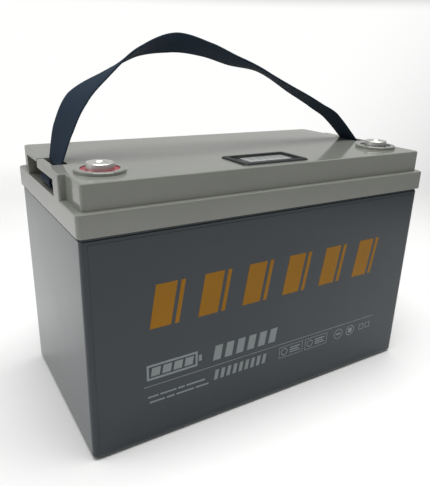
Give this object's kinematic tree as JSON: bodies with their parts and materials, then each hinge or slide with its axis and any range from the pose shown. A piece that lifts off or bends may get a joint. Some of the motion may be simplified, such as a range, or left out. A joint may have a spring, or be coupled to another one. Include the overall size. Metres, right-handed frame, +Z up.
{
  "type": "deep cycle battery",
  "caption": "Sealed 12 volt deep cycle battery in a grey plastic case with a light grey lid, tapped terminals, a small charge display and a webbing carry strap.",
  "frame": {"origin": "on the ground, below the middle of the case", "axes": "+X along the case towards the negative terminal, front face with the label towards -Y, +Z up"},
  "size_m": [0.33, 0.172, 0.3077],
  "materials": {
    "case_plastic": "dark grey ABS, satin gloss",
    "lid_plastic": "light grey ABS, glossy",
    "sealant": "matt",
    "label_film": "dark grey printed film, glossy",
    "red_ring": "glossy red",
    "black_ring": "glossy black",
    "tinned_brass": "tin plated, bright",
    "zinc_steel": "zinc plated",
    "bezel_plastic": "glossy black",
    "window_plastic": "smoked clear acrylic",
    "lcd_glass": "grey-green liquid crystal panel",
    "circuit_board": "green solder mask",
    "red_wire": "silicone insulation",
    "black_wire": "silicone insulation",
    "thin_wire": "PVC insulation, red and black",
    "cell_wrap": "aluminium can in blue shrink film",
    "insulating_sheet": "epoxy glass sheet",
    "bare_aluminium": "bare aluminium",
    "copper": "nickel flashed copper",
    "foam": "closed cell foam",
    "black_moulding": "moulded black parts",
    "nylon": "natural nylon",
    "webbing": "woven polypropylene webbing, near black"
  },
  "bodies": {
    "battery": {"case_tub": "case_plastic", "lid": "lid_plastic", "lid_seal": "sealant", "front_label": "label_film", "positive_ring": "red_ring", "negative_ring": "black_ring", "positive_terminal": "tinned_brass", "negative_terminal": "tinned_brass", "terminal_seals": "sealant", "terminal_nuts": "tinned_brass", "lug_nuts": "zinc_steel", "display_bezel": "bezel_plastic", "display_window": "window_plastic", "lcd_panel": "lcd_glass", "display_board": "circuit_board", "display_screws": "zinc_steel", "display_lead": "thin_wire", "cell_1": "cell_wrap", "cell_2": "cell_wrap", "cell_3": "cell_wrap", "cell_4": "cell_wrap", "cell_insulators": "insulating_sheet", "cell_vents": "bare_aluminium", "cell_studs": "zinc_steel", "end_plates": "bare_aluminium", "compression_bands": "zinc_steel", "busbar_1": "copper", "busbar_2": "copper", "busbar_3": "copper", "busbar_nuts": "zinc_steel", "base_foam": "foam", "left_foam": "foam", "right_foam": "foam", "board_tray": "insulating_sheet", "tray_standoffs": "nylon", "bms_board": "circuit_board", "bms_heat_sink": "bare_aluminium", "bms_mosfets": "black_moulding", "bms_shunts": "copper", "bms_connector": "nylon", "bms_screws": "zinc_steel", "temperature_sensor": "thin_wire", "positive_lead": "red_wire", "negative_lead": "black_wire", "output_lead": "black_wire", "lead_lugs": "tinned_brass", "balance_harness": "thin_wire", "left_strap_root": "webbing", "right_strap_root": "webbing", "left_strap_loop": "webbing", "right_strap_loop": "webbing", "left_strap_pin": "black_moulding", "right_strap_pin": "black_moulding"},
    "strap": {"carry_strap": "webbing"}
  },
  "joints": [
    {"name": "strap_swing", "type": "hinge", "parent": "battery", "child": "strap", "pos_m": [-0.1545, -0.004, 0.2138], "axis": [0.9997, 0.0259, 0], "range_deg": [-55, 55], "deforming": ["left_strap_root", "right_strap_root"]}
  ]
}
